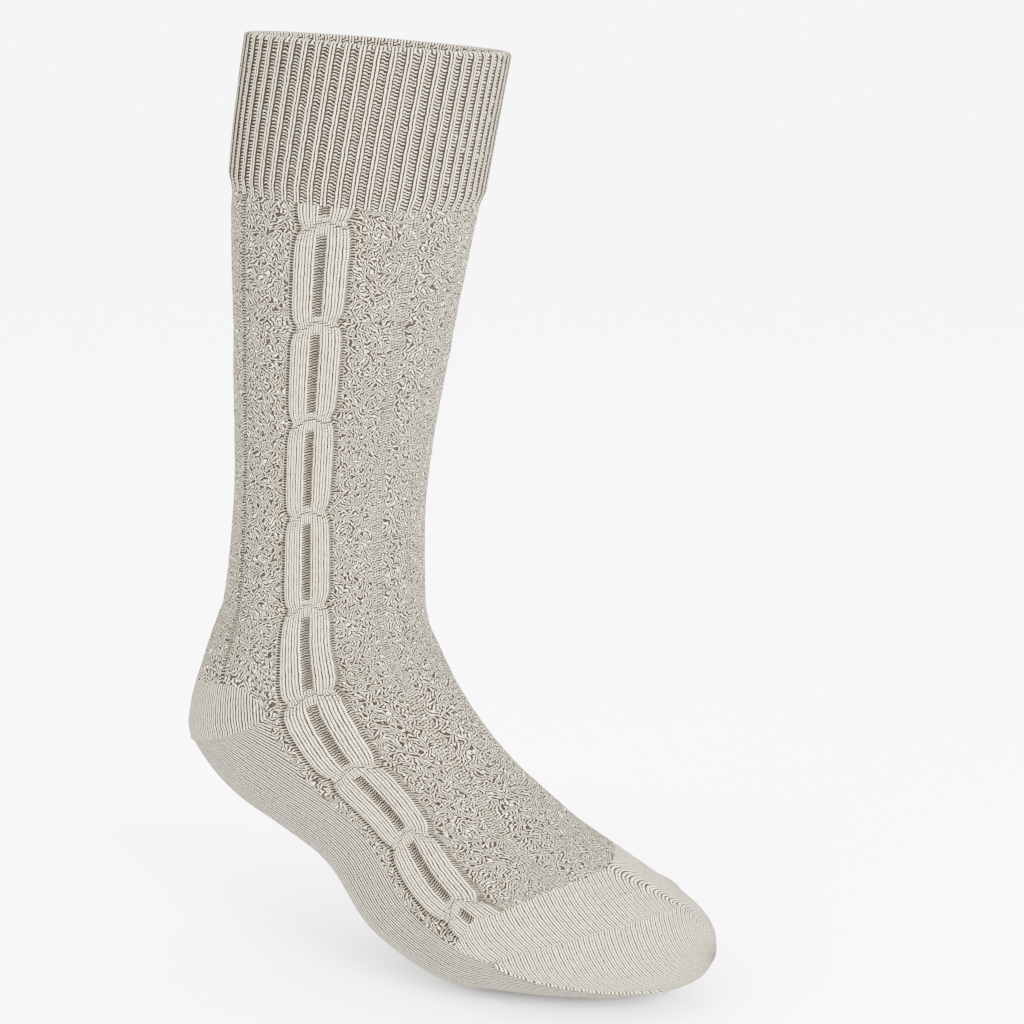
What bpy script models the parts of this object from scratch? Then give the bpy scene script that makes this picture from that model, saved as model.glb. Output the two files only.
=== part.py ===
"""A thick knitted sock in its worn form, hollow and open at the top.

The leg rises along +Z and the toe points along +X. The origin is the middle of the opening at the
rim. The heel is lifted, so that only the ball and the toe are at the lowest level.

The knit is one surface with two coordinates. A place is a section number, counted from the rim down
the leg and out to the toe, and a share around: 0 at the front or top, 1 on the side line and 2 at the
back or under the sole, negative on the right-hand side. Each piece is a stretch of that surface with
the thickness of its knit.
"""

import bpy
import numpy as np

# Driving dimensions, in metres unless named otherwise
FOOT_LENGTH = 0.264
FOOT_WIDTH = 0.100
HEEL_DEPTH = 0.141
ANKLE_HEIGHT = 0.155
LEG_LENGTH = 0.262
CALF_DEPTH = 0.1105
CALF_WIDTH = 0.110
CUFF_LENGTH = 0.067
KNIT_WALL = 0.0026
CUFF_WALL = 0.0036
CUFF_PROUD = 0.0010
RIM_ROUND = 0.0010
RIB_COUNT = 56
RIB_RISE = 0.0009
BAND_RISE = 0.0010
LADDER_DEPTH = 0.0007
PINCH_SPACING = 0.043
FIRST_PINCH = 0.008
PINCH_REACH = 0.0045
TOE_RIDGE = 0.0006
MITRE_RIDGE = 0.0005
TOE_CAP = 0.0008
GAP = 0.0003

# How full the sections are: 1 is an ellipse, less is squarer. The underside of the foot is squarer.
FULLNESS = 0.93
SOLE_FULLNESS = 0.75

# Leg sections from the rim to just above the ankle. Height above the ankle and distance forward of it
# are shares of LEG_LENGTH, depth a share of CALF_DEPTH and width a share of CALF_WIDTH.
LEG_SECTIONS = (
    # height, forward, tilt in degrees, depth, width
    (1.000, 0.131, -5.0, 1.000, 0.96),
    (0.743, 0.084, -5.5, 0.955, 1.00),
    (0.497, 0.053, -4.5, 0.850, 0.90),
    (0.261, 0.026, -1.5, 0.780, 0.79),
    (0.071, 0.009, 1.0, 0.841, 0.735),
)

# Sections that fan round the heel and go out to the toe. Forward is a share of FOOT_LENGTH, height a
# share of ANKLE_HEIGHT, depth a share of HEEL_DEPTH and width a share of FOOT_WIDTH.
FOOT_SECTIONS = (
    # forward, height, tilt in degrees, depth, width
    (0.262, 1.000, 2.0, 0.723, 0.80),
    (0.254, 0.902, 8.0, 0.834, 0.77),
    (0.248, 0.806, 14.0, 0.945, 0.73),
    (0.257, 0.724, 17.0, 1.000, 0.70),
    (0.318, 0.604, 22.0, 0.934, 0.70),
    (0.442, 0.465, 32.0, 0.728, 0.77),
    (0.533, 0.317, 43.0, 0.713, 0.92),
    (0.636, 0.229, 58.0, 0.600, 1.03),
    (0.709, 0.210, 68.0, 0.488, 1.03),
    (0.798, 0.190, 78.0, 0.395, 0.91),
    (0.886, 0.173, 81.0, 0.318, 0.70),
    (0.950, 0.164, 82.0, 0.240, 0.46),
    (0.985, 0.160, 84.0, 0.155, 0.24),
    (0.997, 0.159, 85.0, 0.070, 0.10),
)

ANKLE_SECTION = len(LEG_SECTIONS)
LAST_SECTION = len(LEG_SECTIONS) + len(FOOT_SECTIONS) - 1

# The section at the ball of the foot
BALL_SECTION = ANKLE_SECTION + 7.0

# The side line, in degrees from the front, on the leg and heel and then at the toe's corner
SIDE_ANGLE = 95.0
TOE_SIDE_ANGLE = 101.0

# Where the pieces meet, in section numbers
HEEL_CORNER = ANKLE_SECTION + 2.53
HEEL_TOP_BACK = ANKLE_SECTION + 1.35
MITRE_BACK = ANKLE_SECTION + 3.0
PATTERN_END_SIDE = ANKLE_SECTION + 6.9
PATTERN_END_TOP = ANKLE_SECTION + 8.85
TOE_CORNER = ANKLE_SECTION + 7.85
POCKET_TOP = ANKLE_SECTION + 10.6
POCKET_UNDER = ANKLE_SECTION + 10.8

# Columns of the pattern from the front to the side line. A height of 1 is a raised band, -1 is the
# floor of a ladder. At a pinch the heights change and the columns shift by the share named last.
FRONT_COLUMNS = (
    # share around, height, height at a pinch, shift at a pinch
    (0.000, 0.0, 0.0, 0.000),
    (0.130, 0.0, 0.0, 0.000),
    (0.285, 0.0, 0.0, 0.000),
    (0.310, -1.0, -1.0, 0.000),
    (0.375, -1.0, -1.0, 0.000),
    (0.400, 0.0, 0.0, 0.000),
    (0.480, 0.0, 0.0, 0.000),
    (0.560, 0.0, 0.0, 0.005),
    (0.645, 0.0, 0.0, 0.015),
    (0.670, -1.0, -0.4, 0.025),
    (0.690, 1.0, 0.2, 0.022),
    (0.762, 1.0, 0.5, 0.006),
    (0.780, -1.0, 0.4, 0.000),
    (0.840, -1.0, 0.4, 0.000),
    (0.858, 1.0, 0.5, -0.006),
    (0.930, 1.0, 0.2, -0.022),
    (0.950, -1.0, -0.4, -0.025),
    (1.000, 0.0, 0.0, 0.000),
)

# Columns from the side line to the middle of the back
BACK_COLUMNS = (
    # share around, height, height at a pinch, shift at a pinch
    (1.000, 0.0, 0.0, 0.000),
    (1.050, 0.0, 0.0, 0.000),
    (1.130, 0.0, 0.0, 0.000),
    (1.270, 0.0, 0.0, 0.000),
    (1.300, -1.0, -1.0, 0.000),
    (1.330, 0.0, 0.0, 0.000),
    (1.530, 0.0, 0.0, 0.000),
    (1.760, 0.0, 0.0, 0.000),
    (2.000, 0.0, 0.0, 0.000),
)

# The middle of the twin bands, and the rows of one pinch spacing as shares of it
BAND_MIDDLE = 0.81
PINCH_ROWS = (0.0, 0.12, 0.5, 0.88)


def section_table():
    """Every section as centre x, centre z, tilt, half depth and half width."""
    ankle_x = FOOT_SECTIONS[0][0] * FOOT_LENGTH
    rows = []
    for height, forward, tilt, depth, width in LEG_SECTIONS:
        x = ankle_x + forward * LEG_LENGTH
        z = ANKLE_HEIGHT + height * LEG_LENGTH
        rows.append((x, z, np.radians(tilt), depth * CALF_DEPTH / 2, width * CALF_WIDTH / 2))
    for forward, height, tilt, depth, width in FOOT_SECTIONS:
        x = forward * FOOT_LENGTH
        z = height * ANKLE_HEIGHT
        rows.append((x, z, np.radians(tilt), depth * HEEL_DEPTH / 2, width * FOOT_WIDTH / 2))
    table = np.array(rows)
    table[:, 0] -= table[0, 0]
    table[:, 1] -= table[0, 1]
    return table


SECTIONS = section_table()


def section(number):
    """The section at any number, on a smooth curve through the table."""
    number = np.clip(number, 0.0, LAST_SECTION)
    first = np.minimum(number.astype(int), LAST_SECTION - 1)
    t = (number - first)[..., None]
    before = SECTIONS[np.maximum(first - 1, 0)]
    start = SECTIONS[first]
    end = SECTIONS[first + 1]
    after = SECTIONS[np.minimum(first + 2, LAST_SECTION)]
    linear = (end - before) * t
    square = (2 * before - 5 * start + 4 * end - after) * t ** 2
    cube = (3 * start - before - 3 * end + after) * t ** 3
    return start + 0.5 * (linear + square + cube)


def smooth_step(value):
    value = np.clip(value, 0.0, 1.0)
    return value * value * (3 - 2 * value)


def side_angle(number):
    """The angle of the side line, which sinks a little from the heel corner to the toe's corner."""
    share = (number - HEEL_CORNER) / (TOE_CORNER - HEEL_CORNER)
    return SIDE_ANGLE + (TOE_SIDE_ANGLE - SIDE_ANGLE) * smooth_step(share)


def fullness(number, angle):
    """The sections' fullness, which falls under the foot from the heel corner to the ball."""
    under = np.where(np.cos(angle) < 0, 1.0, 0.0)
    share = (number - HEEL_CORNER) / (BALL_SECTION - HEEL_CORNER)
    return FULLNESS + (SOLE_FULLNESS - FULLNESS) * under * smooth_step(share)


def surface(number, around):
    """Points of the plain surface."""
    side = side_angle(number)
    share = np.abs(around)
    degrees = np.where(share <= 1, side * share, side + (180.0 - side) * (share - 1))
    angle = np.radians(degrees) * np.where(around < 0, -1.0, 1.0)
    x, z, tilt, half_depth, half_width = np.moveaxis(section(number), -1, 0)
    power = 2 / fullness(number, angle)
    reach = (np.abs(np.cos(angle)) ** power + np.abs(np.sin(angle)) ** power) ** (-1 / power)
    ahead = half_depth * reach * np.cos(angle)
    aside = half_width * reach * np.sin(angle)
    return np.stack((x + ahead * np.cos(tilt), aside, z + ahead * np.sin(tilt)), axis=-1)


def unit(vectors):
    return vectors / np.linalg.norm(vectors, axis=-1, keepdims=True)


def normals(number, around):
    """Outward directions of the plain surface."""
    step = 0.02
    low = np.clip(number - step, 0.0, LAST_SECTION)
    high = np.clip(number + step, 0.0, LAST_SECTION)
    along = surface(high, around) - surface(low, around)
    across = surface(number, around + step) - surface(number, around - step)
    return unit(np.cross(along, across))


def band_lengths(start):
    """Section numbers from start to the toe, and the length along the twin bands to each."""
    numbers = np.linspace(start, LAST_SECTION, 600)
    points = surface(numbers, np.full(numbers.shape, BAND_MIDDLE))
    steps = np.linalg.norm(np.diff(points, axis=0), axis=1)
    return numbers, np.concatenate(([0.0], np.cumsum(steps)))


def section_at_length(length, start):
    numbers, lengths = band_lengths(start)
    return np.interp(length, lengths, numbers)


def length_at_section(number, start):
    numbers, lengths = band_lengths(start)
    return np.interp(number, numbers, lengths)


CUFF_END = float(section_at_length(CUFF_LENGTH, 0.0))
LEG_RUN = float(length_at_section(HEEL_CORNER, CUFF_END))
PATTERN_RUN = float(length_at_section(PATTERN_END_SIDE, CUFF_END))


def pattern_rows(first_length, last_length):
    """Lengths of the rows between two lengths, with more of them round each pinch."""
    lengths = [first_length]
    pinch = FIRST_PINCH - PINCH_SPACING
    margin = 0.05 * PINCH_SPACING
    while pinch < last_length:
        for share in PINCH_ROWS:
            length = pinch + share * PINCH_SPACING
            if first_length + margin < length < last_length - margin:
                lengths.append(length)
        pinch += PINCH_SPACING
    lengths.append(last_length)
    return np.array(lengths)


def columns(table, reverse=False):
    """A mirrored list of a table's rows, from one side line to the other."""
    rows = np.array(table)
    other = rows[::-1].copy()
    other[:, 0] *= -1
    other[:, 3] *= -1
    if reverse:
        return np.concatenate((rows, other[1:]))
    return np.concatenate((other, rows[1:]))


FRONT = columns(FRONT_COLUMNS)
BACK = columns(BACK_COLUMNS, reverse=True)
ROUND = np.concatenate((FRONT, BACK[1:-1]))


def pinch_strength(lengths):
    """1 at a pinch, falling to 0 within its reach."""
    offset = (lengths - FIRST_PINCH + PINCH_SPACING / 2) % PINCH_SPACING - PINCH_SPACING / 2
    return np.exp(-(offset / PINCH_REACH) ** 2)


def relief(table, lengths):
    """Heights and shifted shares around for a grid of rows by columns."""
    pinch = pinch_strength(lengths)[:, None]
    height = table[:, 1] * (1 - pinch) + table[:, 2] * pinch
    scale = np.where(height > 0, BAND_RISE, LADDER_DEPTH)
    return height * scale, table[:, 0] + table[:, 3] * pinch


def heel_top(share):
    """Upper edge of the heel, high at the back and dropping to the heel corner."""
    drop = np.exp(-(np.abs(share) - 1) / 0.06)
    return HEEL_TOP_BACK + (HEEL_CORNER - HEEL_TOP_BACK) * drop


def heel_mitre(share):
    """Line between the upper and lower halves of the heel pocket."""
    rise = np.exp(-(np.abs(share) - 1) / 0.12)
    return MITRE_BACK + (HEEL_CORNER - MITRE_BACK) * rise


def pattern_end(share):
    """Where the pattern gives way to the plain toe band, further out over the toes."""
    reach = np.cos(np.radians(90 * np.clip(np.abs(share) / 0.75, 0, 1)))
    return PATTERN_END_SIDE + (PATTERN_END_TOP - PATTERN_END_SIDE) * reach


def pocket_edge(share):
    """Edge of the toe pocket: the upper mitre line on top and the lower one under the sole."""
    share = np.abs(share)
    over = np.clip(np.cos(np.radians(90 * np.clip(share, 0, 1))), 0, 1) ** 1.15
    under = smooth_step((share - 1) / 0.42)
    return TOE_CORNER + (POCKET_TOP - TOE_CORNER) * over + (POCKET_UNDER - TOE_CORNER) * under


def chord(line, share):
    """A line of the back, straight between the columns, for pieces that share its edge."""
    knots = np.array([row[0] for row in BACK_COLUMNS])
    return np.interp(np.abs(share), knots, line(knots))


def pull_edge(shift, number, around, edge, inner):
    """Add to shift what moves an edge of a grid half a gap into its piece."""
    points = surface(number, around)
    line = points[edge]
    along = np.gradient(line, axis=0)
    direction = unit(np.cross(normals(number, around)[edge], along))
    towards = points[inner] - line
    side = np.sign(np.sum(direction * towards, axis=-1, keepdims=True))
    shift[edge] += direction * side * GAP / 2


def edge_shift(number, around, closed):
    """What draws every free edge of a grid back by half a gap."""
    shift = np.zeros(number.shape + (3,))
    pull_edge(shift, number, around, np.s_[0, :], np.s_[1, :])
    pull_edge(shift, number, around, np.s_[-1, :], np.s_[-2, :])
    if not closed:
        pull_edge(shift, number, around, np.s_[:, 0], np.s_[:, 1])
        pull_edge(shift, number, around, np.s_[:, -1], np.s_[:, -2])
    return shift


def full_grid(number, around):
    """Section numbers and shares around as two arrays of the same shape."""
    return np.broadcast_arrays(np.asarray(number, float), np.asarray(around, float))


def skin(number, around, rise, closed):
    """Points of a grid, raised by rise off the plain surface, its edges drawn back."""
    number, around = full_grid(number, around)
    points = surface(number, around) + normals(number, around) * rise[..., None]
    return points + edge_shift(number, around, closed)


def grid_faces(first, rows, count, closed, outward):
    """Quads of a grid whose points start at index first."""
    faces = []
    steps = count if closed else count - 1
    for row in range(rows - 1):
        for column in range(steps):
            beside = (column + 1) % count
            here = first + row * count
            below = here + count
            quad = (here + column, below + column, below + beside, here + beside)
            faces.append(quad if outward else quad[::-1])
    return faces


def rim_faces(outer, inner, closed, outward):
    """Triangles between two lines of point indices, split alike on both sides of every gap."""
    faces = []
    steps = len(outer) if closed else len(outer) - 1
    for step in range(steps):
        beside = (step + 1) % len(outer)
        for face in (
            (outer[step], outer[beside], inner[beside]),
            (outer[step], inner[beside], inner[step]),
        ):
            faces.append(face if outward else face[::-1])
    return faces


def add_object(name, points, faces, material):
    mesh = bpy.data.meshes.new(name)
    mesh.from_pydata([tuple(point) for point in points], [], faces)
    mesh.update()
    mesh.shade_smooth()
    mesh.set_sharp_from_angle(angle=np.radians(50))
    mesh.materials.append(material)
    piece = bpy.data.objects.new(name, mesh)
    bpy.context.scene.collection.objects.link(piece)
    return piece


def tube(name, outer, inner, material, tip=None):
    """A closed wall round the sock, open at both ends or closed at the toe by a pair of tip points."""
    rows, count = outer.shape[:2]
    inner_rows = inner.shape[0]
    inner_first = rows * count
    points = [*outer.reshape(-1, 3), *inner.reshape(-1, 3)]
    faces = grid_faces(0, rows, count, True, True)
    faces += grid_faces(inner_first, inner_rows, count, True, False)
    top_outer = list(range(count))
    top_inner = list(range(inner_first, inner_first + count))
    faces += rim_faces(top_outer, top_inner, True, True)
    end_outer = list(range((rows - 1) * count, rows * count))
    end_inner = list(range(inner_first + (inner_rows - 1) * count, inner_first + inner_rows * count))
    if tip is None:
        faces += rim_faces(end_outer, end_inner, True, False)
    else:
        outer_tip = len(points)
        points += [*tip]
        for step in range(count):
            beside = (step + 1) % count
            faces.append((end_outer[beside], end_outer[step], outer_tip))
            faces.append((end_inner[step], end_inner[beside], outer_tip + 1))
    return add_object(name, points, faces, material)


def patch(name, outer, inner, material):
    """A closed wall with four edges."""
    rows, count = outer.shape[:2]
    inner_first = rows * count
    points = [*outer.reshape(-1, 3), *inner.reshape(-1, 3)]
    faces = grid_faces(0, rows, count, False, True)
    faces += grid_faces(inner_first, rows, count, False, False)
    edges = (
        (list(range(count)), True),
        (list(range((rows - 1) * count, rows * count)), False),
        (list(range(0, rows * count, count)), False),
        (list(range(count - 1, rows * count, count)), True),
    )
    for outer_edge, outward in edges:
        inner_edge = [index + inner_first for index in outer_edge]
        faces += rim_faces(outer_edge, inner_edge, False, outward)
    return add_object(name, points, faces, material)


def knit_material(name, colour):
    material = bpy.data.materials.new(name)
    material.use_nodes = True
    shader = material.node_tree.nodes["Principled BSDF"]
    shader.inputs["Base Color"].default_value = (*colour, 1.0)
    shader.inputs["Roughness"].default_value = 0.92
    shader.inputs["Metallic"].default_value = 0.0
    return material


def build_cuff():
    """Ribbed cuff: a raised rib and a valley for each pair of stitches, and a rounded rim."""
    crest_points = ((0.0, 1.0), (0.42, 1.0), (0.71, 0.0))
    shares = []
    heights = []
    for rib in range(RIB_COUNT):
        for place, height in crest_points:
            turn = (rib + place) / RIB_COUNT
            degrees = 360.0 * turn - 180.0
            side = SIDE_ANGLE
            size = abs(degrees)
            share = size / side if size <= side else 1 + (size - side) / (180.0 - side)
            shares.append(np.copysign(share, degrees))
            heights.append(height)
    shares = np.array(shares)
    heights = np.array(heights) * RIB_RISE
    run = float(length_at_section(CUFF_END, 0.0))
    lengths = np.array([0.0, 1.5 * RIM_ROUND, 0.34 * run, 0.67 * run, run])
    number = section_at_length(lengths, 0.0)[:, None]
    rounding = np.where(lengths == 0.0, RIM_ROUND, 0.0)[:, None]
    outer_rise = CUFF_PROUD + heights - rounding
    inner_rise = CUFF_PROUD + heights - CUFF_WALL + rounding
    outer = skin(number, shares, outer_rise, True)
    inner_rows = [0, 1, 2, 4]
    inner = skin(number[inner_rows], shares, inner_rise[inner_rows], True)
    return tube("rib_cuff", outer, inner, knit_material("ribbed_knit", (0.66, 0.64, 0.57)))


def leg_numbers(lengths, shares):
    """Rows that end on the instep's first row in front and on the heel's upper edge behind."""
    number = section_at_length(lengths, CUFF_END)[:, None]
    end = np.where(np.abs(shares) > 1, heel_top(shares), HEEL_CORNER)
    blend = smooth_step((number - (ANKLE_SECTION - 1)) / (HEEL_CORNER - ANKLE_SECTION + 1))
    return number + (end - HEEL_CORNER) * blend


def build_leg():
    """Patterned tube from the cuff to the heel corner."""
    lengths = pattern_rows(0.0, LEG_RUN)
    height, shares = relief(ROUND, lengths)
    outer = skin(leg_numbers(lengths, shares), shares, height, True)
    kept = sorted({0, len(lengths) - 1, *range(0, len(lengths) - 2, 3)})
    inner_rise = np.full(height.shape, -KNIT_WALL)
    inner = skin(leg_numbers(lengths, shares)[kept], shares[kept], inner_rise[kept], True)
    return tube("leg", outer, inner, knit_material("patterned_knit", (0.60, 0.56, 0.48)))


def instep_numbers(lengths, shares):
    """Rows that start square at the heel corner and end on the pattern's curved end."""
    number = section_at_length(lengths, CUFF_END)[:, None]
    share = (number - HEEL_CORNER) / (PATTERN_END_SIDE - HEEL_CORNER)
    return number + (pattern_end(shares) - PATTERN_END_SIDE) * smooth_step(share)


def build_instep():
    """Patterned top of the foot."""
    lengths = pattern_rows(LEG_RUN, PATTERN_RUN)
    height, shares = relief(FRONT, lengths)
    number = instep_numbers(lengths, shares)
    outer = skin(number, shares, height, False)
    inner = skin(number, shares, np.full(height.shape, -KNIT_WALL), False)
    return patch("instep", outer, inner, knit_material("patterned_knit_instep", (0.60, 0.56, 0.48)))


def build_heel():
    """Plain upper half of the heel pocket, with the mitre line raised along its lower edge."""
    shares = BACK[:, 0].copy()
    tip = 1.012
    shares[0] = tip
    shares[-1] = -tip
    top = chord(heel_top, shares)
    mitre = chord(heel_mitre, shares)
    steps = np.array([0.0, 0.25, 0.5, 0.75, 0.93, 1.0])[:, None]
    number = top + (mitre - top) * steps
    number, shares = full_grid(number, shares)
    rise = np.where(steps == 1.0, MITRE_RIDGE, 0.0) * np.ones(number.shape)
    outer = skin(number, shares, rise, False)
    inner = skin(number, shares, np.full(number.shape, -KNIT_WALL), False)
    return patch("heel", outer, inner, knit_material("plain_knit_heel", (0.62, 0.58, 0.50)))


def toe_steps():
    """How far each row of the toe band lies from the pattern's end to the toe pocket."""
    return np.array([0.0, 0.17, 0.34, 0.5, 0.66, 1.0])


def side_rows():
    """Section numbers along the side line, from the heel corner to the toe's corner."""
    instep = section_at_length(pattern_rows(LEG_RUN, PATTERN_RUN), CUFF_END)
    band = PATTERN_END_SIDE + (TOE_CORNER - PATTERN_END_SIDE) * toe_steps()
    return np.concatenate((instep, band[1:]))


def build_sole():
    """Plain underside, from the heel's mitre line to the lower mitre line of the toe."""
    side = side_rows()[:, None]
    shares = BACK[:, 0]
    share = (side - HEEL_CORNER) / (TOE_CORNER - HEEL_CORNER)
    start = (heel_mitre(shares) - HEEL_CORNER) * (1 - smooth_step(2.5 * share))
    end = (pocket_edge(shares) - TOE_CORNER) * smooth_step(1.6 * share - 0.6)
    number, shares = full_grid(side + start + end, shares)
    outer = skin(number, shares, np.zeros(number.shape), False)
    inner = skin(number, shares, np.full(number.shape, -KNIT_WALL), False)
    return patch("sole", outer, inner, knit_material("plain_knit_sole", (0.56, 0.53, 0.47)))


def build_toe_band():
    """Plain band over the toes with two low ridges across it."""
    steps = toe_steps()[:, None]
    shares = FRONT[:, 0]
    first = pattern_end(shares)
    last = pocket_edge(shares)
    number, shares = full_grid(first + (last - first) * steps, shares)
    ridge = ((steps == 0.17) | (steps == 0.5)) * np.clip(1 - np.abs(shares) / 0.6, 0, 1)
    outer = skin(number, shares, ridge * TOE_RIDGE, False)
    inner = skin(number, shares, np.full(number.shape, -KNIT_WALL), False)
    return patch("toe_band", outer, inner, knit_material("plain_knit_toe_band", (0.68, 0.64, 0.56)))


def build_toe_pocket():
    """Pocket that closes the toe, its mitre edge slightly raised."""
    steps = np.array([0.0, 0.06, 0.3, 0.55, 0.8, 1.0])[:, None]
    shares = ROUND[:, 0]
    first = pocket_edge(shares)
    number, shares = full_grid(first + (LAST_SECTION - first) * steps, shares)
    rise = np.where(steps == 0.0, MITRE_RIDGE, 0.0) * np.ones(number.shape)
    outer = skin(number, shares, rise, True)
    inner = skin(number, shares, np.full(number.shape, -KNIT_WALL), True)
    middle = outer[-1].mean(axis=0)
    forward = np.array([TOE_CAP, 0.0, 0.0])
    tip = (middle + forward, middle + forward - np.array([KNIT_WALL, 0.0, 0.0]))
    material = knit_material("plain_knit_toe", (0.60, 0.57, 0.51))
    return tube("toe_pocket", outer, inner, material, tip)


def clear_scene():
    for old in list(bpy.data.objects):
        bpy.data.objects.remove(old)


def build():
    clear_scene()
    build_cuff()
    build_leg()
    build_heel()
    build_instep()
    build_sole()
    build_toe_band()
    build_toe_pocket()


build()
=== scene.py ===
"""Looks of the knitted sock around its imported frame: knit relief, yarn, light and camera.

Places on the knit are a section number, from the rim down the leg and out to the toe, and a share
around: 0 at the front or top, 1 on the side line, 2 at the back or under the sole, negative on the
right-hand side. Lengths are metres in the frame's own axes.
"""

import bpy
import numpy as np
from mathutils import Matrix, Vector


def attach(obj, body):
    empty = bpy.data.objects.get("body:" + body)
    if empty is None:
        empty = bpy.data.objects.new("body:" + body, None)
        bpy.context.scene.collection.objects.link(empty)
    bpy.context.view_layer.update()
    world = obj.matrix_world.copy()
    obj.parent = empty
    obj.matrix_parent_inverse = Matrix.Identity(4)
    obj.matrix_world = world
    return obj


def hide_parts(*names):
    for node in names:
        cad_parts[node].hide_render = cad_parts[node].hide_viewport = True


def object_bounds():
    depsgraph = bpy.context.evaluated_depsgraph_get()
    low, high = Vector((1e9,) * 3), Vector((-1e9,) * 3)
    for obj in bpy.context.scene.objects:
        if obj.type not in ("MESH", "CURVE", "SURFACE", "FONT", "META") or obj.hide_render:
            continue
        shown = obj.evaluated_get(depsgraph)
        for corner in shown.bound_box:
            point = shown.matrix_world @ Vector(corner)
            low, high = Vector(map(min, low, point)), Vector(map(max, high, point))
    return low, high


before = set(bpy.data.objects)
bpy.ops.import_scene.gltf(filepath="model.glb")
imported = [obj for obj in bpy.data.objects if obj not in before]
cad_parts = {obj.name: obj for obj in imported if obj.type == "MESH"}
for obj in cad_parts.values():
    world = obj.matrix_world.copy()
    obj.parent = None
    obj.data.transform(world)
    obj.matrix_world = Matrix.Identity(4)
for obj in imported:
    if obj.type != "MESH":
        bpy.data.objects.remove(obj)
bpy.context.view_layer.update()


# Measures of the sock, the same as in the CAD
FOOT_LENGTH = 0.264
FOOT_WIDTH = 0.100
HEEL_DEPTH = 0.141
ANKLE_HEIGHT = 0.155
LEG_LENGTH = 0.262
CALF_DEPTH = 0.1105
CALF_WIDTH = 0.110
CUFF_LENGTH = 0.067
KNIT_WALL = 0.0026
CUFF_WALL = 0.0036
RIB_COUNT = 56
PINCH_SPACING = 0.043
FIRST_PINCH = 0.008
FULLNESS = 0.93
SOLE_FULLNESS = 0.75
SIDE_ANGLE = 95.0
TOE_SIDE_ANGLE = 101.0

# Leg from the rim down: height and way forward as shares of LEG_LENGTH, tilt in degrees, depth and
# width as shares of CALF_DEPTH and CALF_WIDTH
LEG_SECTIONS = (
    (1.000, 0.131, -5.0, 1.000, 0.96),
    (0.743, 0.084, -5.5, 0.955, 1.00),
    (0.497, 0.053, -4.5, 0.850, 0.90),
    (0.261, 0.026, -1.5, 0.780, 0.79),
    (0.071, 0.009, 1.0, 0.841, 0.735),
)

# Foot out to the toe: way forward and height as shares of FOOT_LENGTH and ANKLE_HEIGHT, tilt in
# degrees, depth and width as shares of HEEL_DEPTH and FOOT_WIDTH
FOOT_SECTIONS = (
    (0.262, 1.000, 2.0, 0.723, 0.80),
    (0.254, 0.902, 8.0, 0.834, 0.77),
    (0.248, 0.806, 14.0, 0.945, 0.73),
    (0.257, 0.724, 17.0, 1.000, 0.70),
    (0.318, 0.604, 22.0, 0.934, 0.70),
    (0.442, 0.465, 32.0, 0.728, 0.77),
    (0.533, 0.317, 43.0, 0.713, 0.92),
    (0.636, 0.229, 58.0, 0.600, 1.03),
    (0.709, 0.210, 68.0, 0.488, 1.03),
    (0.798, 0.190, 78.0, 0.395, 0.91),
    (0.886, 0.173, 81.0, 0.318, 0.70),
    (0.950, 0.164, 82.0, 0.240, 0.46),
    (0.985, 0.160, 84.0, 0.155, 0.24),
    (0.997, 0.159, 85.0, 0.070, 0.10),
)
LAST_SECTION = 18

# Section numbers of the ball of the foot and of the edges between the pieces
BALL_SECTION = 12.0
HEEL_CORNER = 7.53
HEEL_TOP_BACK = 6.35
MITRE_BACK = 8.0
PATTERN_END_SIDE = 11.9
PATTERN_END_TOP = 13.85
TOE_CORNER = 12.85
POCKET_TOP = 15.6
POCKET_UNDER = 15.8

# How far around these edges bend, as shares, and how bluntly the toe pocket does on top
HEEL_TOP_BEND = 0.06
MITRE_BEND = 0.12
PATTERN_END_BEND = 0.75
POCKET_BEND = 0.42
POCKET_POWER = 1.15

# Ridges rise from nothing on the side line over this share
SIDE_FADE = 0.05

# The front and back of the leg meet at this share
SEAM = 0.953

# Length of one row of stitches, and how many wales lie in each share round the heel and sole
COURSE = 0.0014
PLAIN_WALES = 28.0

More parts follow.
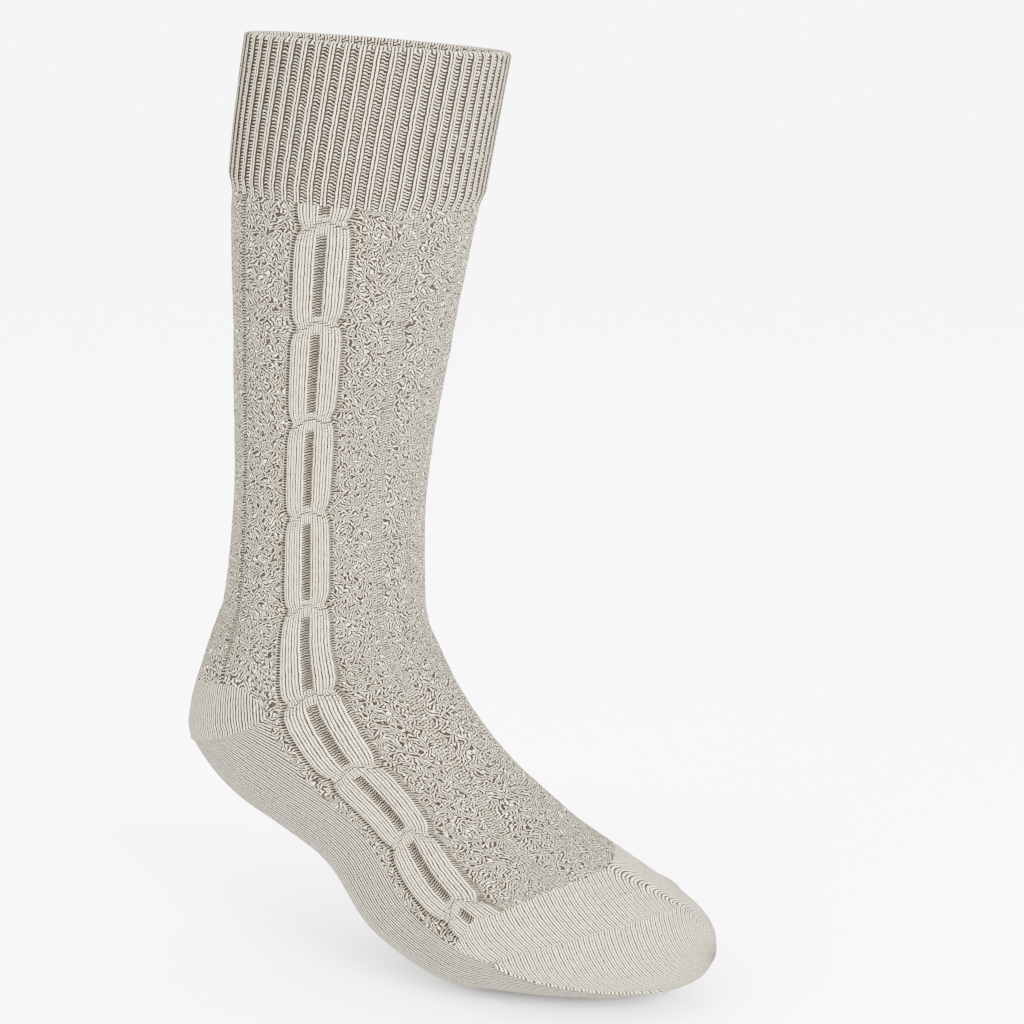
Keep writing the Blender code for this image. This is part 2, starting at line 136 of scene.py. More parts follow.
# Relief across the pattern from the front to the middle of the back: share around, height in mm,
# height at a pinch, shift of the share at a pinch, how much moss stitch and how much open ladder, which
# also paints shade
PATTERN = np.array((
    (0.000, 0.00, 0.00, 0.000, 1, 0),
    (0.040, 0.00, 0.00, 0.000, 1, 0),
    (0.052, -0.25, -0.25, 0.000, 0.6, 0.4),
    (0.088, -0.25, -0.25, 0.000, 0.6, 0.4),
    (0.100, 0.00, 0.00, 0.000, 1, 0),
    (0.290, 0.00, 0.00, 0.000, 1, 0),
    (0.308, -0.35, -0.35, 0.000, 0.6, 0.4),
    (0.372, -0.35, -0.35, 0.000, 0.6, 0.4),
    (0.390, 0.00, 0.00, 0.000, 1, 0),
    (0.530, 0.00, 0.00, 0.004, 1, 0),
    (0.600, 0.00, -0.20, 0.014, 1, 0),
    (0.618, -0.30, -0.50, 0.022, 1, 0),
    (0.628, -0.90, -0.80, 0.026, 0, 1),
    (0.640, -0.80, -0.60, 0.026, 0, 1),
    (0.650, 0.80, 0.10, 0.024, 0, 0),
    (0.664, 1.00, 0.30, 0.020, 0, 0),
    (0.744, 1.00, 0.50, 0.006, 0, 0),
    (0.755, 0.80, 0.45, 0.003, 0, 0),
    (0.766, -1.00, 0.40, 0.000, 0, 1),
    (0.804, -1.00, 0.40, 0.000, 0, 1),
    (0.815, 0.80, 0.45, -0.003, 0, 0),
    (0.826, 1.00, 0.50, -0.006, 0, 0),
    (0.906, 1.00, 0.30, -0.020, 0, 0),
    (0.920, 0.80, 0.10, -0.024, 0, 0),
    (0.930, -0.80, -0.60, -0.026, 0, 1),
    (0.947, -0.90, -0.80, -0.026, 0, 1),
    (0.957, -0.10, -0.30, -0.014, 1, 0),
    (0.985, 0.00, 0.00, 0.000, 1, 0),
    (1.080, 0.00, 0.00, 0.000, 1, 0),
    (1.285, 0.00, 0.00, 0.000, 1, 0),
    (1.296, -0.70, -0.70, 0.000, 0, 1),
    (1.316, -0.70, -0.70, 0.000, 0, 1),
    (1.327, 0.00, 0.00, 0.000, 1, 0),
    (2.000, 0.00, 0.00, 0.000, 1, 0),
))
MILLIMETRE = 0.001

# Wale count at each share, so that whole stitches fill each band
WALES = np.array((
    (0.000, -15.0), (0.300, -9.5), (0.645, 0.0), (0.760, 3.5), (0.810, 5.5), (0.925, 9.0), (1.000, 11.0),
    (1.300, 16.5), (2.000, 30.0),
))

# The two bands: their middle, the ladder between them and how far the creases start from the middle
BAND_MIDDLE = 0.785
LADDER_START = 0.759
LADDER_END = 0.811
CREASE_START = 0.137

# Places of the pinches: the length where they begin to lie closer, how much closer, and how much
# sooner they come towards the front
FOOT_PINCH = 0.290
FOOT_STRETCH = 0.11
FRONT_LEAD = 0.016
LEAD_REACH = 0.15

# Form of a pinch along the leg: how far it draws the knit in, closes the ladder and creases, and
# how much of the table's shift it makes
PINCH_REACH = 0.0034
PINCH_POWER = 1.15
CLOSED_PLACE = 0.0005
CLOSED_REACH = 0.0026
CREASE_REACH = 0.0060
SHIFT_GAIN = 1.3

# Heights of the slow unevenness of the cloth and of the bumps of moss stitch
WIDE_WAVE = 0.00032
SMALL_WAVE = 0.00012
MOSS_BUMP = 0.00022

# Gaps between the rows of points along the knit, and between the columns as shares around
FINE_ROW = 0.0007
BACK_ROW = 0.0008
SOLE_ROW = 0.026
LEG_COLUMN = 0.0079
INSTEP_COLUMN = 0.0085
TOE_BAND_COLUMN = 0.0095
BACK_COLUMN = 0.0105
HEEL_COLUMN = 0.011
HEEL_ROWS = 64
TOE_BAND_ROWS = 76
POCKET_ROWS = 72
POCKET_COLUMNS = 248
INNER_SKIP = 4

# Heights and widths of the ridges along the edges of the plain pieces
HEEL_RIDGE = (0.00085, 0.0016)
SOLE_START_RIDGE = (0.00085, 0.0012)
SOLE_END_RIDGE = (0.0005, 0.0014)
TOE_BAND_RIDGE = (0.0006, 0.0010)
TOE_RIDGE = (0.0009, 0.0013)

# Ribs and rim of the cuff
RIB_COLUMNS = 9
RIB_CREST = 0.46
RIB_HEIGHT = 0.0009
VALLEY_DEPTH = 0.0015
VALLEY_WIDTH = 1.7
INNER_ROW = 0.0022
INNER_RIBS = 0.4
RIM_ANGLES = 9
CUFF_TAPER = 0.007
CUFF_FOOT = 0.00015
CUFF_PROUD = 0.00085
PIT_WIDTH = 0.24
UNDER_RIM_DEPTH = 0.0008
ON_RIM_DEPTH = 0.0007
ON_ARC = 0.98

# Angles of the small rings that close the toe, in degrees, and how far the tip reaches forward
TIP_ANGLES = (20, 40, 60, 75)
TIP_REACH = 0.0009

# Yarn colours, from the pale stitches to the dark end, which is the yarn's dark ply and the painted
# shade in the gaps between stitches
PALE_YARN = (0.97, 0.860, 0.615)
DARK_PLY_AND_GAP_SHADE = (0.018, 0.012, 0.007)
# The heel, sole and toe take their own copies of the pale yarn colour: the heel's and sole's darker, the
# toe's lighter
HEEL_YARN = (0.93, 0.825, 0.610)
SOLE_YARN = (0.87, 0.79, 0.620)
TOE_YARN = (0.98, 0.875, 0.645)
CLEAR_TINT = (1.0, 1.0, 1.0)
DULL_TINT = (0.93, 0.925, 0.90)
BUMP_DEPTH = 0.0007

# Floor, light and camera
FLOOR_REACH = 6.0
FLOOR_GAP = 0.0002
FLOOR_DARK = (0.90, 0.90, 0.90)
FLOOR_PALE = (0.94, 0.94, 0.935)
FLOOR_GLOW = 6.6
# Reach and power of the painted shadow in the floor's glow
SHADOW_REACH = 0.22
SHADOW_POWER = 1.6
WORLD_LIGHT = 1.30
WORLD_SEEN = 8.0
LAMPS = (
    ("key", (1.5, -0.7, 0.55), 0.7, 126.0),
    ("fill", (-1.1, -1.5, 0.6), 1.2, 76.0),
)
LAMP_TARGET = (0.0, 0.0, -0.2)
CAMERA_PLACE = (0.4275, -0.8080, -0.0064)
CAMERA_PITCH = 12.436
CAMERA_HEADING = 24.294
CAMERA_LENS = 72.63
SENSOR_WIDTH = 36.0


def section_table():
    """Place, tilt, half depth and half width of each section, with the rim's middle at the origin."""
    ankle_x = FOOT_SECTIONS[0][0] * FOOT_LENGTH
    rows = []
    for height, forward, tilt, depth, width in LEG_SECTIONS:
        x = ankle_x + forward * LEG_LENGTH
        z = ANKLE_HEIGHT + height * LEG_LENGTH
        rows.append((x, z, np.radians(tilt), depth * CALF_DEPTH / 2, width * CALF_WIDTH / 2))
    for forward, height, tilt, depth, width in FOOT_SECTIONS:
        x = forward * FOOT_LENGTH
        z = height * ANKLE_HEIGHT
        rows.append((x, z, np.radians(tilt), depth * HEEL_DEPTH / 2, width * FOOT_WIDTH / 2))
    made = np.array(rows)
    made[:, :2] -= made[0, :2].copy()
    return made


SECTIONS = section_table()


def section(number):
    """A smooth curve through the section table."""
    number = np.clip(number, 0.0, LAST_SECTION)
    first = np.minimum(number.astype(int), LAST_SECTION - 1)
    t = (number - first)[..., None]
    before = SECTIONS[np.maximum(first - 1, 0)]
    start = SECTIONS[first]
    end = SECTIONS[first + 1]
    after = SECTIONS[np.minimum(first + 2, LAST_SECTION)]
    linear = (end - before) * t
    square = (2 * before - 5 * start + 4 * end - after) * t ** 2
    cube = (3 * start - before - 3 * end + after) * t ** 3
    return start + 0.5 * (linear + square + cube)


def smooth_step(value):
    value = np.clip(value, 0.0, 1.0)
    return value * value * (3 - 2 * value)


def surface(number, around):
    """Points of the outer face without its relief."""
    side_share = (number - HEEL_CORNER) / (TOE_CORNER - HEEL_CORNER)
    side = SIDE_ANGLE + (TOE_SIDE_ANGLE - SIDE_ANGLE) * smooth_step(side_share)
    share = np.abs(around)
    degrees = np.where(share <= 1, side * share, side + (180.0 - side) * (share - 1))
    angle = np.radians(degrees) * np.where(around < 0, -1.0, 1.0)
    x, z, tilt, half_depth, half_width = np.moveaxis(section(number), -1, 0)
    under = np.where(np.cos(angle) < 0, 1.0, 0.0)
    ball = smooth_step((number - HEEL_CORNER) / (BALL_SECTION - HEEL_CORNER))
    power = 2 / (FULLNESS + (SOLE_FULLNESS - FULLNESS) * under * ball)
    reach = (np.abs(np.cos(angle)) ** power + np.abs(np.sin(angle)) ** power) ** (-1 / power)
    ahead = half_depth * reach * np.cos(angle)
    aside = half_width * reach * np.sin(angle)
    return np.stack((x + ahead * np.cos(tilt), aside, z + ahead * np.sin(tilt)), axis=-1)


def unit(vectors):
    return vectors / np.maximum(np.linalg.norm(vectors, axis=-1, keepdims=True), 1e-12)


def normals(number, around):
    step = 0.02
    low = np.clip(number - step, 0.0, LAST_SECTION)
    high = np.clip(number + step, 0.0, LAST_SECTION)
    along = surface(high, around) - surface(low, around)
    across = surface(number, around + step) - surface(number, around - step)
    return unit(np.cross(along, across))


BAND_NUMBERS = np.linspace(0.0, LAST_SECTION, 1500)
BAND_POINTS = surface(BAND_NUMBERS, np.full(BAND_NUMBERS.shape, BAND_MIDDLE))
BAND_STEPS = np.linalg.norm(np.diff(BAND_POINTS, axis=0), axis=1)
BAND_LENGTHS = np.concatenate(([0.0], np.cumsum(BAND_STEPS)))


def number_at(length):
    """Section number at a length from the rim down the middle of the bands."""
    return np.interp(length, BAND_LENGTHS, BAND_NUMBERS)


def length_at(number):
    """Length from the rim down the middle of the bands to a section number."""
    return np.interp(number, BAND_NUMBERS, BAND_LENGTHS)


LEG_LENGTHS = (CUFF_LENGTH, float(length_at(HEEL_CORNER)))
FOOT_LENGTHS = (LEG_LENGTHS[1], float(length_at(PATTERN_END_SIDE)))


def heel_top(share):
    """Upper edge of the heel."""
    bend = np.exp(-(np.abs(share) - 1) / HEEL_TOP_BEND)
    return HEEL_TOP_BACK + (HEEL_CORNER - HEEL_TOP_BACK) * bend


def heel_mitre(share):
    """Edge between heel and sole."""
    bend = np.exp(-(np.abs(share) - 1) / MITRE_BEND)
    return MITRE_BACK + (HEEL_CORNER - MITRE_BACK) * bend


def pattern_end(share):
    """Edge between instep and toe band."""
    reach = np.cos(np.radians(90 * np.clip(np.abs(share) / PATTERN_END_BEND, 0, 1)))
    return PATTERN_END_SIDE + (PATTERN_END_TOP - PATTERN_END_SIDE) * reach


def pocket_edge(share):
    """Edge of the toe pocket, over the toe band and under the foot."""
    share = np.abs(share)
    over = np.clip(np.cos(np.radians(90 * np.clip(share, 0, 1))), 0, 1) ** POCKET_POWER
    under = smooth_step((share - 1) / POCKET_BEND)
    return TOE_CORNER + (POCKET_TOP - TOE_CORNER) * over + (POCKET_UNDER - TOE_CORNER) * under


def hashed(a, b, seed):
    """A steady number from 0 to 1 for each pair of whole numbers."""
    value = np.sin(a * 127.1 + b * 311.7 + seed * 74.7) * 43758.5453
    return value - np.floor(value)


def value_noise(x, y, seed):
    """Smooth noise from -1 to 1."""
    column = np.floor(x)
    row = np.floor(y)
    fx = smooth_step(x - column)
    fy = smooth_step(y - row)
    top = hashed(column, row, seed) * (1 - fx) + hashed(column + 1, row, seed) * fx
    low = hashed(column, row + 1, seed) * (1 - fx) + hashed(column + 1, row + 1, seed) * fx
    return (top * (1 - fy) + low * fy) * 2 - 1


def wales(share, behind):
    """Wales from the front middle, or round the back where the piece is behind."""
    count = np.interp(np.abs(share), WALES[:, 0], WALES[:, 1]) - WALES[0, 1]
    if behind:
        return np.where(share < 0, 2 * (WALES[-1, 1] - WALES[0, 1]) - count, count)
    return np.copysign(count, share)


def plain_wales(share):
    """Evenly spaced wales round the heel and sole."""
    return PLAIN_WALES * np.where(share < 0, share + 4.0, share)


def waves(points):
    """Slow unevenness of the cloth, in metres."""
    x, y, z = points[..., 0], points[..., 1], points[..., 2]
    wide = value_noise(x * 38 + y * 17, z * 34 - y * 21, 3)
    small = value_noise(x * 95 - y * 60, z * 88 + y * 75, 5)
    return WIDE_WAVE * wide + SMALL_WAVE * small


def lump(u, v, seed):
    """Bumps of irregular moss stitch, two stitches or so wide."""
    small = value_noise(u * 0.95, v * 0.58, seed)
    wide = value_noise(u * 0.5 + 9, v * 0.33, seed + 1)
    return 0.6 * small + 0.4 * wide


def pinch_offset(length, share):
    """Distance past the nearest pinch. They lie closer on the foot and sooner on the front band."""
    length = length + np.maximum(length - FOOT_PINCH, 0.0) * FOOT_STRETCH
    length = length - FRONT_LEAD * np.clip(share - BAND_MIDDLE, -LEAD_REACH, LEAD_REACH)
    half = PINCH_SPACING / 2
    return (length - CUFF_LENGTH - FIRST_PINCH + half) % PINCH_SPACING - half


def creases(offset, share):
    """Height in mm and openness of the creases that run out from a pinch into the moss stitch, the
    openness also painting shade into them.
    """
    away = np.maximum(np.abs(share - BAND_MIDDLE) - CREASE_START, 0.0)
    fan = np.cos(offset / (0.0014 + 0.012 * away) * np.pi)
    strength = np.exp(-(offset / CREASE_REACH) ** 2) * np.exp(-away / 0.05) * (away > 0)
    return strength * (0.55 * fan - 0.35), 0.8 * strength * np.clip(-fan, 0, 1)


def tuck_lines(offset, share):
    """Strength of the tuck line that crosses both bands, with a short crease on each side of it."""
    across = np.abs(share - BAND_MIDDLE)
    bow = offset + 0.0016 * np.cos(across * 26) - 0.0004
    line = np.exp(-(bow / 0.0009) ** 2)
    beside = np.exp(-((np.abs(bow) - 0.0030) / 0.0008) ** 2) * (across > 0.06)
    return (line + 0.6 * beside) * smooth_step((0.175 - across) / 0.03)


def pattern(length, base):
    """Relief, shifted share, moss weight and ladder weight of the patterned knit; the ladder weight also
    paints shade.
    """
    share = np.abs(base)
    offset = pinch_offset(length, share)
    pinch = np.exp(-np.abs(offset / PINCH_REACH) ** PINCH_POWER)
    closed = smooth_step(2.0 - np.abs(offset - CLOSED_PLACE) / CLOSED_REACH)
    columns = [np.interp(share, PATTERN[:, 0], PATTERN[:, k]) for k in range(1, 6)]
    height, at_pinch, shift, moss, ladder_and_shade = columns
    middle = (share > LADDER_START) & (share < LADDER_END)
    used = np.where(middle, closed, pinch)
    rise = height * (1 - used) + at_pinch * used
    ladder_and_shade = np.where(middle, ladder_and_shade * (1 - closed), ladder_and_shade)
    moved = np.copysign(share + SHIFT_GAIN * shift * pinch, base)
    crease, crease_shade = creases(offset, share)
    rise = rise + crease
    # Painted shade and rungs in the open parts of the creases
    ladder_and_shade = np.maximum(ladder_and_shade, crease_shade)
    tuck = tuck_lines(offset, share)
    rise = rise - 0.55 * tuck
    # Painted shade along the tuck lines and their short creases, with rungs
    ladder_and_shade = np.maximum(ladder_and_shade, 0.75 * np.clip(tuck, 0, 1))
    return rise * MILLIMETRE, moved, moss, ladder_and_shade


def full(number, around):
    return np.broadcast_arrays(np.asarray(number, float), np.asarray(around, float))


class Shell:
    """Points, faces and weaves gathered for one piece."""

    def __init__(self):
        self.points = []
        self.faces = []
        self.weaves = {"stitch": [], "zone": []}
        self.count = 0

    def grid(self, points, stitch, zone, closed, flip=False):
        """Adds quads. Weaves have one more column than the points where the grid closes."""
        rows, columns = points.shape[:2]
        spans = columns if closed else columns - 1
        row = np.arange(rows - 1)[:, None]
        column = np.arange(spans)[None, :]
        here = self.count + row * columns + column
        right = self.count + row * columns + (column + 1) % columns
        quads = np.stack((here, here + columns, right + columns, right), axis=-1).reshape(-1, 4)
        wide = stitch.shape[1]
        at = row * wide + column
        places = np.stack((at, at + wide, at + wide + 1, at + 1), axis=-1).reshape(-1, 4)
        self.add(quads, stitch.reshape(-1, 2)[places], zone.reshape(-1, 2)[places], flip)
        self.points.append(points.reshape(-1, 3))
        first = self.count
        self.count += rows * columns
        return first

    def add(self, faces, stitch, zone, flip):
        turn = -1 if flip else 1
        self.faces.append(faces[:, ::turn])
        self.weaves["stitch"].append(stitch[:, ::turn])
        self.weaves["zone"].append(zone[:, ::turn])

    def strip(self, outer, inner, weave, flip):
        """Faces between a line of point numbers and a line with a whole number of times fewer spans."""
        ratio = (len(outer) - 1) // (len(inner) - 1)
        first = np.arange(len(inner) - 1)[:, None] * ratio + np.arange(ratio + 1)[None, :]
        faces = np.concatenate((outer[first], inner[1:, None], inner[:-1, None]), axis=1)
        places = np.concatenate((first, first[:, -1:], first[:, :1]), axis=1)
        stitch = weave[places]
        self.add(faces, stitch, np.zeros(stitch.shape), flip)

    def mesh(self, name):
        """The gathered faces as one mesh."""
        points = np.concatenate(self.points)
        corners = np.concatenate([faces.ravel() for faces in self.faces]).astype(np.int32)
        sizes = np.concatenate([np.full(len(faces), faces.shape[1]) for faces in self.faces])
        starts = np.concatenate(([0], np.cumsum(sizes)[:-1])).astype(np.int32)
        mesh = bpy.data.meshes.new(name)
        mesh.vertices.add(len(points))
        mesh.vertices.foreach_set("co", points.astype(np.float32).ravel())
        mesh.loops.add(len(corners))
        mesh.loops.foreach_set("vertex_index", corners)
        mesh.polygons.add(len(sizes))
        mesh.polygons.foreach_set("loop_start", starts)
        for label, weaves in self.weaves.items():
            layer = mesh.uv_layers.new(name=label)
            flat = np.concatenate([weave.reshape(-1) for weave in weaves])
            layer.data.foreach_set("uv", flat.astype(np.float32))
        mesh.update(calc_edges=True)
        mesh.shade_smooth()
        mesh.set_sharp_from_angle(angle=np.radians(75))
        return mesh

    def make(self, name, material, nodes):
        """The piece that takes the place of these CAD nodes."""
        mesh = self.mesh(name)
        mesh.materials.append(material)
        piece = bpy.data.objects.new(name, mesh)
        bpy.context.scene.collection.objects.link(piece)
        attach(piece, "root")
        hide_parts(*nodes)


def numbers(first, step, count, closed):
    """Point numbers of one line of a grid."""
    line = first + step * np.arange(count)
    return np.append(line, line[0]) if closed else line


def wall(shell, outer, inner, stitch, zone, closed):
    """Outer face, coarser inner face and the edges between them."""
    rows, columns = outer.shape[:2]
    coarse = inner[::INNER_SKIP, ::INNER_SKIP]
    coarse_stitch = stitch[::INNER_SKIP, ::INNER_SKIP]
    inner_rows, inner_columns = coarse.shape[:2]
    first = shell.grid(outer, stitch, zone, closed)
    inner_first = shell.grid(coarse, coarse_stitch, np.zeros(coarse_stitch.shape), closed, flip=True)
    last = first + (rows - 1) * columns
    inner_last = inner_first + (inner_rows - 1) * inner_columns
    ends = ((first, inner_first, stitch[0], False), (last, inner_last, stitch[-1], True))
    for start, inner_start, weave, turned in ends:
        outer_line = numbers(start, 1, columns, closed)
        inner_line = numbers(inner_start, 1, inner_columns, closed)
        shell.strip(outer_line, inner_line, weave, turned)
    if not closed:
        for edge, inner_edge, turned in ((0, 0, True), (columns - 1, inner_columns - 1, False)):
            outer_line = numbers(first + edge, columns, rows, False)
            inner_line = numbers(inner_first + inner_edge, inner_columns, inner_rows, False)
            shell.strip(outer_line, inner_line, stitch[:, edge], turned)
    return last, inner_last


def sheet(number, share, rise):
    """Outer and inner points of a stretch of knit."""
    number, share = full(number, share)
    plain = surface(number, share)
    out = normals(number, share)
    outer = plain + out * (rise + waves(plain))[..., None]
    inner = plain + out * (waves(plain) - KNIT_WALL)[..., None]
    return outer, inner


def runs(points):
    """Length along each column from its first row."""
    steps = np.linalg.norm(np.diff(points, axis=0), axis=-1)
    return np.concatenate((np.zeros((1, points.shape[1])), np.cumsum(steps, axis=0)))


def pair(a, b):
    a, b = np.broadcast_arrays(a, b)
    return np.stack((a, b), axis=-1)


def spread(start, end, gap, multiple=INNER_SKIP):
    """Evenly spaced values about a gap apart, with a multiple of spans."""
    spans = int(np.ceil(abs(end - start) / gap / multiple)) * multiple
    return np.linspace(start, end, spans + 1)


def round_back(share):
    """Shares past the middle of the back, counted on from the other side."""
    return np.where(share > 2.0, share - 4.0, share)


def cuff_shares():
    """Share around of each column of the cuff, from the middle of the back all the way round."""
    columns = RIB_COUNT * RIB_COLUMNS
    turn = np.arange(columns + 1) / columns
    degrees = 360.0 * turn - 180.0
    size = np.abs(degrees)
    behind = 1 + (size - SIDE_ANGLE) / (180 - SIDE_ANGLE)
    return np.copysign(np.where(size <= SIDE_ANGLE, size / SIDE_ANGLE, behind), degrees)


def cuff_ribs():
    """Wales across, depth in a valley and depth in a pit of each column of the cuff."""
    rib, step = np.divmod(np.arange(RIB_COUNT * RIB_COLUMNS + 1), RIB_COLUMNS)
    place = step / RIB_COLUMNS
    in_valley = np.clip((place - RIB_CREST) / (1 - RIB_CREST), 0, 1)
    across = 2 * rib + np.where(place < RIB_CREST, place / RIB_CREST, 1 + in_valley)
    valley = np.clip(np.sin(np.pi * in_valley) * VALLEY_WIDTH, 0, 1)
    pit = np.exp(-((in_valley - 0.5) / PIT_WIDTH) ** 2) * (place > RIB_CREST)
    return across, valley, pit


def cuff_path():
    """Length down and side, from -1 inside to 1 outside: up the inner face, over the rim and down."""
    half = CUFF_WALL / 2
    outer = spread(half, CUFF_LENGTH, FINE_ROW, 1)
    inner = spread(half, CUFF_LENGTH, INNER_ROW, 1)
    arc = np.radians(np.linspace(0, 180, RIM_ANGLES))[1:-1]
    length = np.concatenate((inner[::-1], half * (1 - np.sin(arc[::-1])), outer))
    side = np.concatenate((np.full(len(inner), -1.0), np.cos(arc[::-1]), np.full(len(outer), 1.0)))
    return length[:, None], side[:, None]


def build_cuff(material):
    """The ribbed cuff, with pits between the ribs on its rim and just under it."""
    share = cuff_shares()
    across, valley, pit = cuff_ribs()
    length, side = cuff_path()
    half = CUFF_WALL / 2
    taper = smooth_step((CUFF_LENGTH - length) / CUFF_TAPER)
    ribs = (RIB_HEIGHT - VALLEY_DEPTH * valley)[None, :] * (0.25 + 0.75 * taper)
    under_rim = pit * np.exp(-((length - 0.0036) / 0.0011) ** 2) * (side > 0.9)
    on_rim = pit * np.exp(-((side - 0.25) / 0.30) ** 2) * (np.abs(side) < ON_ARC)
    inside = -ribs * INNER_RIBS * np.clip(-side, 0, 1)
    lift = np.where(side >= 0, ribs * np.clip(side, 0, 1), inside)
    lift = lift - UNDER_RIM_DEPTH * under_rim - ON_RIM_DEPTH * on_rim
    number, around = full(number_at(length), share[None, :])
    plain = surface(number, around)
    proud = CUFF_FOOT + CUFF_PROUD * taper
    rise = proud - half + half * side + lift + waves(plain) * 0.7
    points = (plain + normals(number, around) * rise[..., None])[:, :-1]
    stitch = pair(across[None, :], length / COURSE)
    fold = (np.abs(side) < ON_ARC) & (length < half)
    # Painted shade in the rib valleys and in the pits on and under the rim, given as the zone's ladder
    # weight, which also gives the valleys rungs
    valley_rungs_and_shade = np.where(fold, on_rim, np.clip(valley + under_rim + on_rim, 0, 1))
    shell = Shell()
    first = shell.grid(points, stitch, pair(0.0, valley_rungs_and_shade), True)
    rows, columns = points.shape[:2]
    top = numbers(first, 1, columns, True)
    foot = numbers(first + (rows - 1) * columns, 1, columns, True)
    shell.strip(foot, top, stitch[0], True)
    shell.make("cuff_knit", material, ["rib_cuff"])


def leg_number(length, share):
    """Section number on the leg, drawn up at the back to the top of the heel."""
    number = number_at(length)
    end = np.where(np.abs(share) > 1, heel_top(share), HEEL_CORNER)
    blend = smooth_step((number - 4.0) / (HEEL_CORNER - 4.0))
    return number + (end - HEEL_CORNER) * blend


def instep_number(length, share):
    """Section number on the instep, drawn out to the edge of the toe band."""
    number = number_at(length)
    reach = smooth_step((number - HEEL_CORNER) / (PATTERN_END_SIDE - HEEL_CORNER))
    return number + (pattern_end(share) - PATTERN_END_SIDE) * reach


def pattern_piece(name, material, nodes, length, base, place, behind=False):
    """A stretch of patterned knit."""
    rise, share, moss, ladder_and_shade = pattern(length, base)
    stitch = pair(wales(base, behind), length / COURSE)
    moss_rise = lump(stitch[..., 0], stitch[..., 1], 11) * MOSS_BUMP * moss
    outer, inner = sheet(place(length, share), share, rise + moss_rise)
    shell = Shell()
    wall(shell, outer, inner, stitch, pair(moss, ladder_and_shade), False)
    shell.make(name, material, nodes)


def build_leg(material):
    length = spread(*LEG_LENGTHS, FINE_ROW)[:, None]
    length, share = full(length, spread(-SEAM, SEAM, LEG_COLUMN)[None, :])
    pattern_piece("leg_front_knit", material, ["leg"], length, share, leg_number)
    length = spread(*LEG_LENGTHS, BACK_ROW)[:, None]
    length, share = full(length, round_back(spread(SEAM, 4.0 - SEAM, BACK_COLUMN))[None, :])
    pattern_piece("leg_back_knit", material, ["leg"], length, share, leg_number, behind=True)


def build_instep(material):
    length = spread(*FOOT_LENGTHS, FINE_ROW)[:, None]
    length, share = full(length, spread(-1.0, 1.0, INSTEP_COLUMN)[None, :])
    pattern_piece("instep_knit", material, ["instep"], length, share, instep_number)


def ridge(distance, size):
    """Height of a soft ridge at a distance from its line."""
    height, width = size
    return height * np.exp(-(distance / width) ** 2)


def off_side(share):
    """0 on the side line, and 1 a little way from it."""
    return smooth_step(np.abs(np.abs(share) - 1.0) / SIDE_FADE)


def along_wales(number, share, run):
    """Wales along the columns."""
    return pair(plain_wales(share), run / COURSE)


def sole_wales(number, share, run):
    """Wales that leave the heel's mitre line slanting forward and turn along the sole."""
    flank = 1 - smooth_step((np.abs(share) - 1.1) / 0.9)
    turn = 8.5 * (1 - np.exp(-run / 0.028)) * flank
    return pair(plain_wales(share) + np.copysign(turn, share), run / COURSE + 40)


def toe_wales(forward, around):
    """Wales that lean round the toes, with shares of the way forward and around."""
    def place(number, share, run):
        length = length_at(number)
        side = np.sqrt(share ** 2 + 0.01)
        u = (forward * length - around * side) / 0.0027
        return pair(u, (0.062 * side + 0.45 * length) / COURSE)
    return place


def plain_piece(name, material, nodes, number, share, rise, place):
    """A stretch of plain knit."""
    number, share = full(number, share)
    run = runs(surface(number, share))
    outer, inner = sheet(number, share, rise(run, run[-1:] - run, share))
    stitch = place(number, share, run)
    shell = Shell()
    wall(shell, outer, inner, stitch, np.zeros(stitch.shape), False)
    shell.make(name, material, nodes)


def build_heel(material):
    share = round_back(spread(1.004, 2.996, HEEL_COLUMN))[None, :]
    top = heel_top(share)
    step = np.linspace(0, 1, HEEL_ROWS + 1)[:, None]
    number = top + (heel_mitre(share) - top) * step

    def rise(run, left, share):
        return ridge(left, HEEL_RIDGE) * off_side(share)

    plain_piece("heel_knit", material, ["heel"], number, share, rise, along_wales)


def build_sole(material):
    side = spread(HEEL_CORNER, TOE_CORNER, SOLE_ROW)[:, None]
    share = round_back(spread(1.0, 3.0, BACK_COLUMN))[None, :]
    part = (side - HEEL_CORNER) / (TOE_CORNER - HEEL_CORNER)
    start = (heel_mitre(share) - HEEL_CORNER) * (1 - smooth_step(2.5 * part))
    end = (pocket_edge(share) - TOE_CORNER) * smooth_step(1.6 * part - 0.6)

    def rise(run, left, share):
        return (ridge(run, SOLE_START_RIDGE) + ridge(left, SOLE_END_RIDGE)) * off_side(share)

    plain_piece("sole_knit", material, ["sole"], side + start + end, share, rise, sole_wales)


def build_toe_band(material):
    step = np.linspace(0, 1, TOE_BAND_ROWS + 1)[:, None]
    share = spread(-1.0, 1.0, TOE_BAND_COLUMN)[None, :]
    first = pattern_end(share)
    number = first + (pocket_edge(share) - first) * step

    def rise(run, left, share):
        length = run[-1:]
        inside = np.clip(1 - np.abs(share) / 0.6, 0, 1)
        lines = ridge(run - 0.17 * length, TOE_BAND_RIDGE) + ridge(run - 0.5 * length, TOE_BAND_RIDGE)
        return lines * inside + ridge(left, TOE_RIDGE) * off_side(share)

    plain_piece("toe_band_knit", material, ["toe_band"], number, share, rise, toe_wales(0.60, 0.068))


def build_toe_pocket(material):
    share = np.linspace(-2, 2, POCKET_COLUMNS + 1)[None, :]
    step = np.linspace(0, 1, POCKET_ROWS + 1)[:, None]
    edge = pocket_edge(share)
    number, around = full(edge + (LAST_SECTION - edge) * step, share)
    run = runs(surface(number, around))
    outer, inner = sheet(number, around, ridge(run, TOE_RIDGE))
    outer = outer[:, :-1]
    inner = inner[:, :-1]
    stitch = toe_wales(1.0, 0.036)(number, around, run)
    shell = Shell()
    last, inner_last = wall(shell, outer, inner, stitch, np.zeros(stitch.shape), True)
    tip(shell, outer[-1], last, stitch[-1], TIP_REACH, False)
    tip(shell, inner[-1][::INNER_SKIP], inner_last, stitch[-1][::INNER_SKIP], 0.0, True)
    shell.make("toe_knit", material, ["toe_pocket"])


